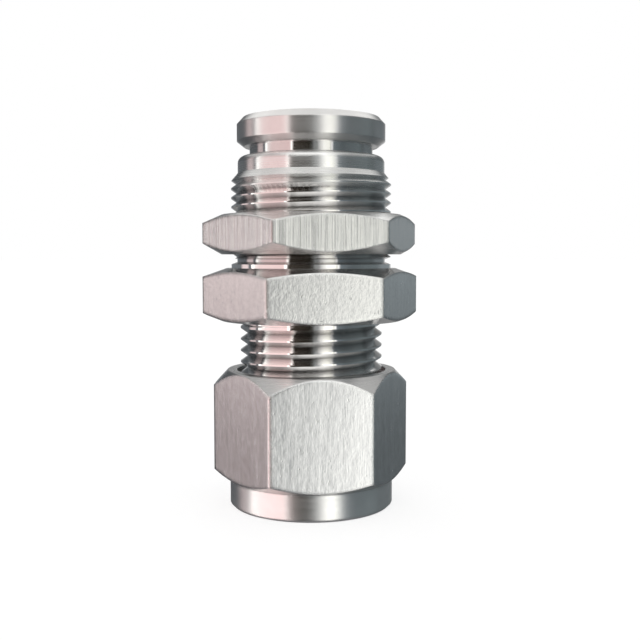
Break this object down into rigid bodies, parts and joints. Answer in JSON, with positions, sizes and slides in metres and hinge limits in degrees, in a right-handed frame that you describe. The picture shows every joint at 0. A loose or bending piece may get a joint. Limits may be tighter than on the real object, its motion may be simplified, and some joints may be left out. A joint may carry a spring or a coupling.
{
  "type": "reducer fitting",
  "caption": "Stainless bulkhead reducer fitting: push-in tube end with release ring above a panel hexagon and lock nut, compression end with union nut and ferrules below.",
  "frame": {"origin": "centre of the panel seat, the upper face of the body hexagon, on the tube axis", "axes": "+Z along the tube axis towards the push-in end; two flats of the body hexagon face +Y and -Y"},
  "size_m": [0.0242, 0.0216, 0.0431],
  "materials": {
    "stainless_body": "bright turned and drawn stainless steel",
    "stainless_nut": "bright drawn hexagon bar with turned chamfers",
    "stainless_turned": "fine turned stainless steel",
    "stainless_spring": "stamped spring stainless steel",
    "stainless_ferrule": "polished stainless steel",
    "seal_rubber": "matt black rubber"
  },
  "bodies": {
    "fitting": {"fitting_body": "stainless_body", "guide_ring": "stainless_turned", "lock_claws": "stainless_spring", "claw_seat": "stainless_turned", "tube_seal": "seal_rubber"},
    "release": {"release_ring": "stainless_turned"},
    "panel_nut": {"lock_nut": "stainless_nut"},
    "ferrules": {"front_ferrule": "stainless_ferrule", "back_ferrule": "stainless_ferrule"},
    "union": {"union_nut": "stainless_nut"}
  },
  "joints": [
    {"name": "release_push", "type": "slide", "parent": "fitting", "child": "release", "axis": [0, 0, -1], "range_m": [0, 0.001], "stiffness_N_per_m": 4000, "springref_m": -0.0005},
    {"name": "lock_nut_travel", "type": "slide", "parent": "fitting", "child": "panel_nut", "axis": [0, 0, 1], "range_m": [-0.00145, 0.017]},
    {"name": "ferrule_travel", "type": "slide", "parent": "fitting", "child": "ferrules", "axis": [0, 0, 1], "range_m": [-0.00445, 0]},
    {"name": "union_nut_screw", "type": "hinge", "parent": "ferrules", "child": "union", "pos_m": [0, 0, -0.0185], "axis": [0, 0, 1], "range_deg": [-1260, 0]}
  ],
  "couplings": [
    {"joint": "ferrule_travel", "follows": "union_nut_screw", "m_per_rad": 0.00020213}
  ]
}
